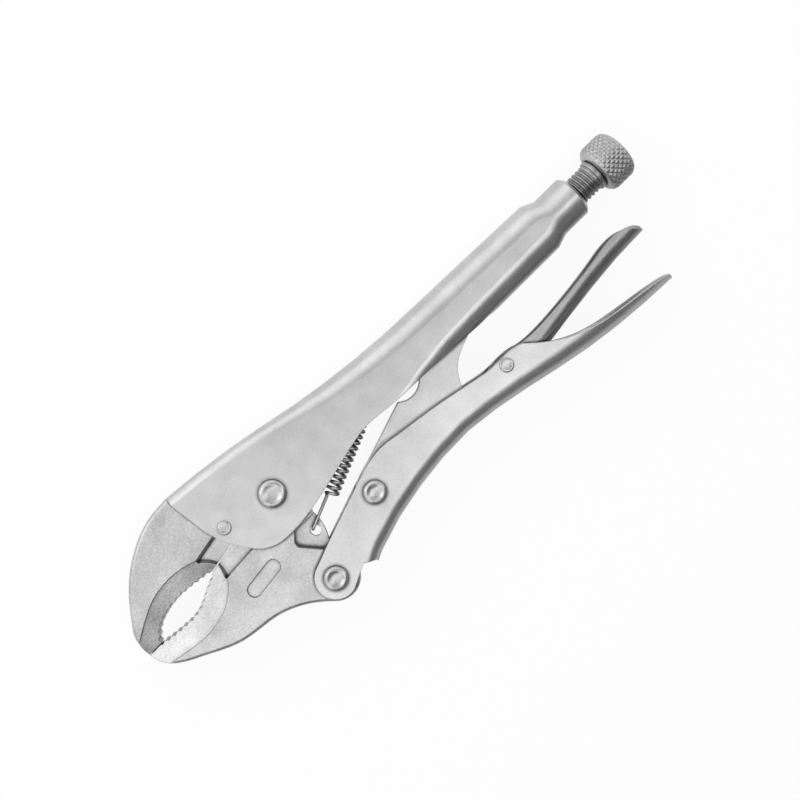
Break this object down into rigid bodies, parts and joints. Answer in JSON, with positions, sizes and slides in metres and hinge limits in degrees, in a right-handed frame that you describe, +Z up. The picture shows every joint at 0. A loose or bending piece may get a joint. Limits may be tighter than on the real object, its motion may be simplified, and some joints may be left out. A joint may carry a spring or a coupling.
{
  "type": "locking pliers",
  "caption": "Locking pliers with curved toothed jaws, wire cutter, toggle-link lever lock, release lever and knurled adjusting screw, lying on one side.",
  "frame": {"origin": "the main jaw pivot's axis, at the bench plane under the lower rivet heads", "axes": "+X along the fixed handle towards the adjusting knob, +Y from the moving handle towards the fixed handle, +Z up from the bench"},
  "size_m": [0.2472, 0.0717, 0.0192],
  "materials": {
    "pressed_steel": "satin nickel plate on pressed sheet",
    "forged_steel": "satin nickel plate on a shot-blasted forging",
    "rivet_steel": "satin nickel plate, pressed heads",
    "screw_steel": "plated machined steel, slightly dull",
    "spring_steel": "dark drawn spring wire"
  },
  "bodies": {
    "upper_handle": {"upper_handle": "pressed_steel", "upper_jaw": "forged_steel", "upper_jaw_rivet": "rivet_steel", "main_rivet": "rivet_steel", "return_spring": "spring_steel"},
    "lower_jaw": {"lower_jaw": "forged_steel"},
    "lower_handle": {"lower_handle": "pressed_steel", "handle_rivet": "rivet_steel", "link_rivet": "rivet_steel", "lever_rivet": "rivet_steel"},
    "toggle_link": {"toggle_link": "pressed_steel"},
    "release_lever": {"release_lever": "pressed_steel"},
    "adjusting_screw": {"adjusting_screw": "screw_steel"},
    "adjusting_knob": {"adjusting_knob": "screw_steel"}
  },
  "joints": [
    {"name": "jaw_open", "type": "hinge", "parent": "upper_handle", "child": "lower_jaw", "pos_m": [0, 0, 0.0096], "axis": [0, 0, 1], "range_deg": [0, 24.1], "deforming": ["return_spring"]},
    {"name": "handle_open", "type": "hinge", "parent": "lower_jaw", "child": "lower_handle", "pos_m": [-0.0053, -0.0373, 0.0096], "axis": [0, 0, -1], "range_deg": [0, 72]},
    {"name": "link_swing", "type": "hinge", "parent": "lower_handle", "child": "toggle_link", "pos_m": [0.026, -0.0252, 0.0096], "axis": [0, 0, 1], "range_deg": [0, 73.1]},
    {"name": "lever_squeeze", "type": "hinge", "parent": "lower_handle", "child": "release_lever", "pos_m": [0.091, -0.0261, 0.0096], "axis": [0, 0, -1], "range_deg": [0, 13]},
    {"name": "screw_travel", "type": "slide", "parent": "upper_handle", "child": "adjusting_screw", "axis": [1, 0, 0], "range_m": [0, 0.025]},
    {"name": "knob_turn", "type": "hinge", "parent": "adjusting_screw", "child": "adjusting_knob", "pos_m": [0.17, 0, 0.0096], "axis": [1, 0, 0], "range_deg": [0, 5005]}
  ],
  "couplings": [
    {"joint": "jaw_open", "follows": "handle_open", "ratio": 0.33333},
    {"joint": "link_swing", "follows": "handle_open", "ratio": 1.0133},
    {"joint": "knob_turn", "follows": "screw_travel", "rad_per_m": 3490.7}
  ]
}
